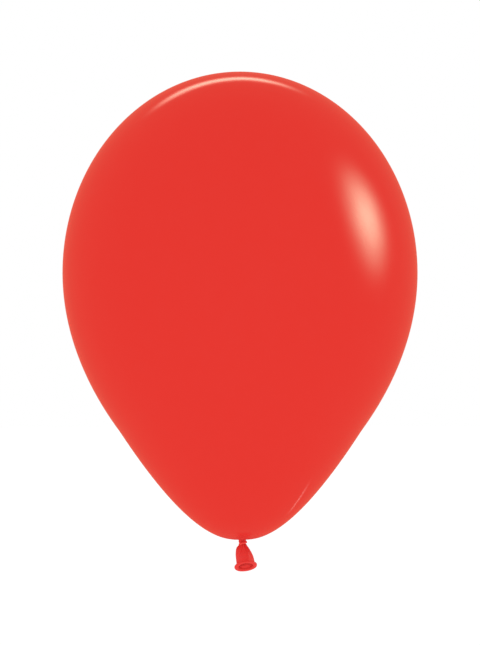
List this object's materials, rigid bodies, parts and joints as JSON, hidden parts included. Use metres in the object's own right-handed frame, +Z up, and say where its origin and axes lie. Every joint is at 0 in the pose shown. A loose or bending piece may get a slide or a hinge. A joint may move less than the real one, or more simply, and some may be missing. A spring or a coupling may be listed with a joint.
{
  "type": "latex balloon",
  "caption": "Round latex balloon, inflated and tied: pear-shaped thin envelope, overhand knot in the stretched neck, and a short open tail with a rolled bead lip that swings at the knot.",
  "frame": {"origin": "centre of the groove between the inflated body and the knot, where a ribbon ties", "axes": "+Z up from the knot to the crown along the body's axis; -Y towards the side that the tail's mouth turns to; +X towards the side that the tail leans to"},
  "size_m": [0.3, 0.3, 0.4232],
  "materials": {
    "stretched_latex": "glossy stretched red latex film",
    "gathered_latex": "bunched red latex film with fine pleats, satin",
    "relaxed_latex": "unstretched red latex film, satin with a soft sheen"
  },
  "bodies": {
    "balloon": {"balloon_body": "stretched_latex", "neck_gather": "gathered_latex"},
    "knot": {"knot_loop": "gathered_latex"},
    "tail": {"neck_tail": "relaxed_latex", "rolled_lip": "relaxed_latex"}
  },
  "joints": [
    {"name": "knot_rock", "type": "hinge", "parent": "balloon", "child": "knot", "pos_m": [0, 0, -0.0006], "axis": [1, 0, 0], "range_deg": [-20, 20], "stiffness_Nm_per_rad": 0.001},
    {"name": "tail_swing", "type": "hinge", "parent": "knot", "child": "tail", "pos_m": [0.00114, 0, -0.00585], "axis": [0, 1, 0], "range_deg": [-40, 50], "stiffness_Nm_per_rad": 0.0005}
  ]
}
